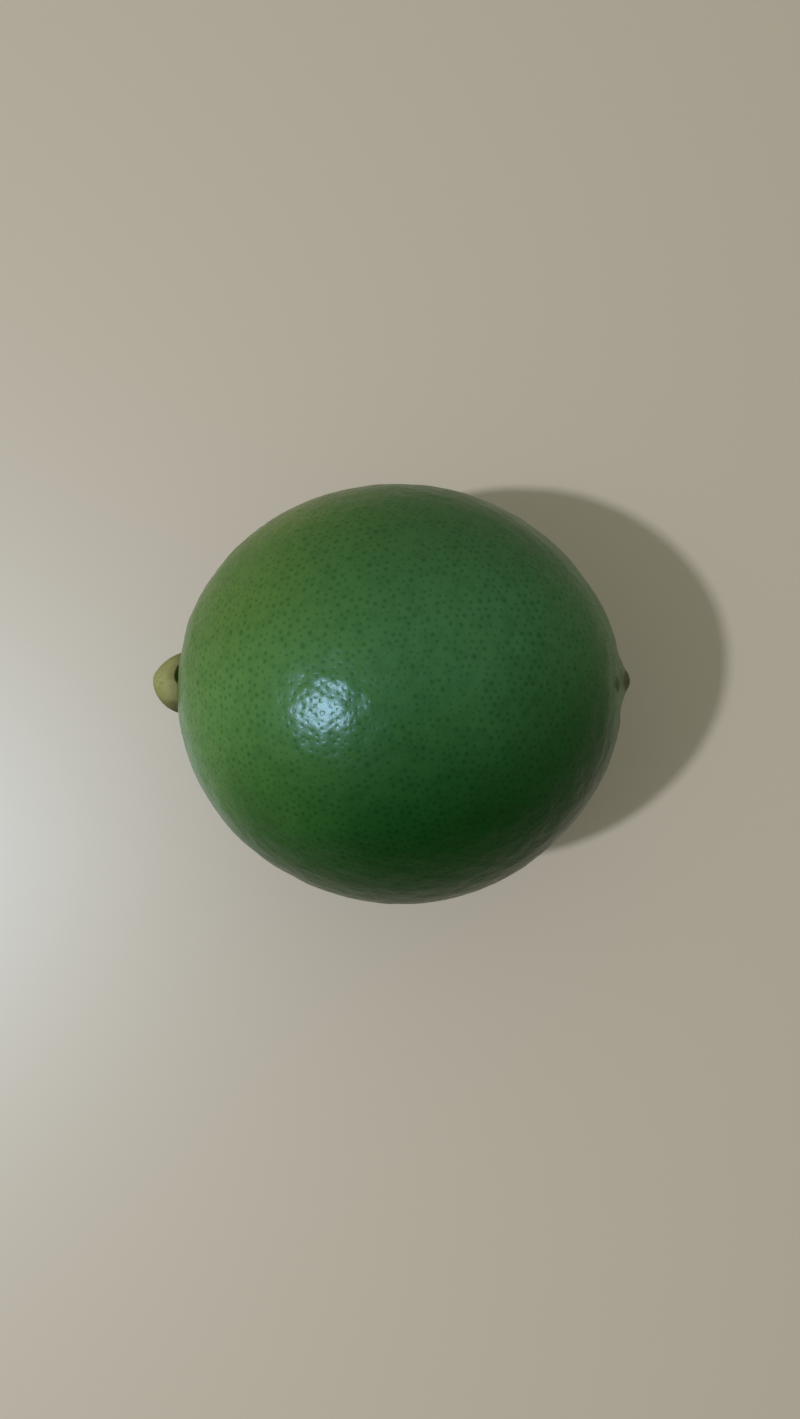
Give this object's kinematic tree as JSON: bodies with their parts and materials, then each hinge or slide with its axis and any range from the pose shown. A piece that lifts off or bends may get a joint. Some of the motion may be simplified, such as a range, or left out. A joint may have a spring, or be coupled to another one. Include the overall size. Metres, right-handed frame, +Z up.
{
  "type": "lime",
  "caption": "Whole fresh lime lying on its side on a small flat spot, with a low nipple at one end and its dry stem button at the other.",
  "frame": {"origin": "middle of the small flat spot that the fruit rests on, under the middle of the fruit", "axes": "+X along the fruit from the stem end to the nipple at the style end, +Y across it, +Z up from the resting spot"},
  "size_m": [0.0592, 0.052, 0.0509],
  "materials": {
    "peel": "green waxy peel, satin to glossy, pitted all over by dark oil gland dots, yellower at the stem end",
    "dry_button": "matt dry calyx and stalk stub, olive yellow with brown edges"
  },
  "bodies": {
    "root": {"fruit": "peel", "stem_button": "dry_button"}
  },
  "joints": []
}
